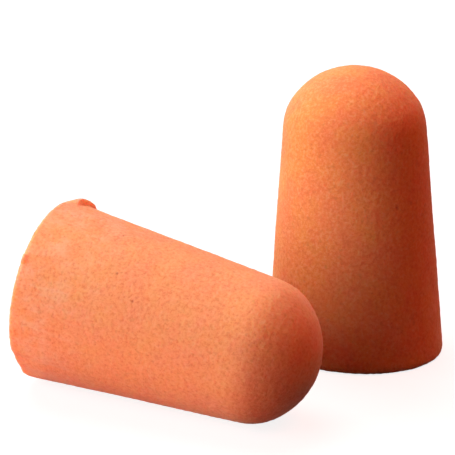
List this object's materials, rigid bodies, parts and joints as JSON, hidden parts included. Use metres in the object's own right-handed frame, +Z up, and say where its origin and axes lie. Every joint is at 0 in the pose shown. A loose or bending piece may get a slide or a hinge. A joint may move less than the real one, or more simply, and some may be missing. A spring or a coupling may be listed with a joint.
{
  "type": "foam ear plugs",
  "caption": "Tapered soft-foam ear plugs with flat base and domed nose, rolled thin and put in the ear canal to muffle sound; stored loose, standing and lying.",
  "frame": {"origin": "centre of the standing plug's base face, on the surface that both plugs rest on", "axes": "+Z up out of the surface, -Z out of the standing plug's base; +X along the pair's longest extent, from the lying plug's base towards the standing plug; +Y away from the side that the lying plug's nose points to"},
  "size_m": [0.0352, 0.0309, 0.024],
  "materials": {
    "orange_foam": "matt fine-celled slow-recovery polyurethane foam, with a soft moulded skin"
  },
  "bodies": {
    "standing": {"standing_plug": "orange_foam"},
    "lying": {"lying_plug": "orange_foam"}
  },
  "joints": [
    {"name": "lying_plug_lift", "type": "slide", "parent": "standing", "child": "lying", "axis": [0, 0, 1], "range_m": [0, 0.04]}
  ]
}
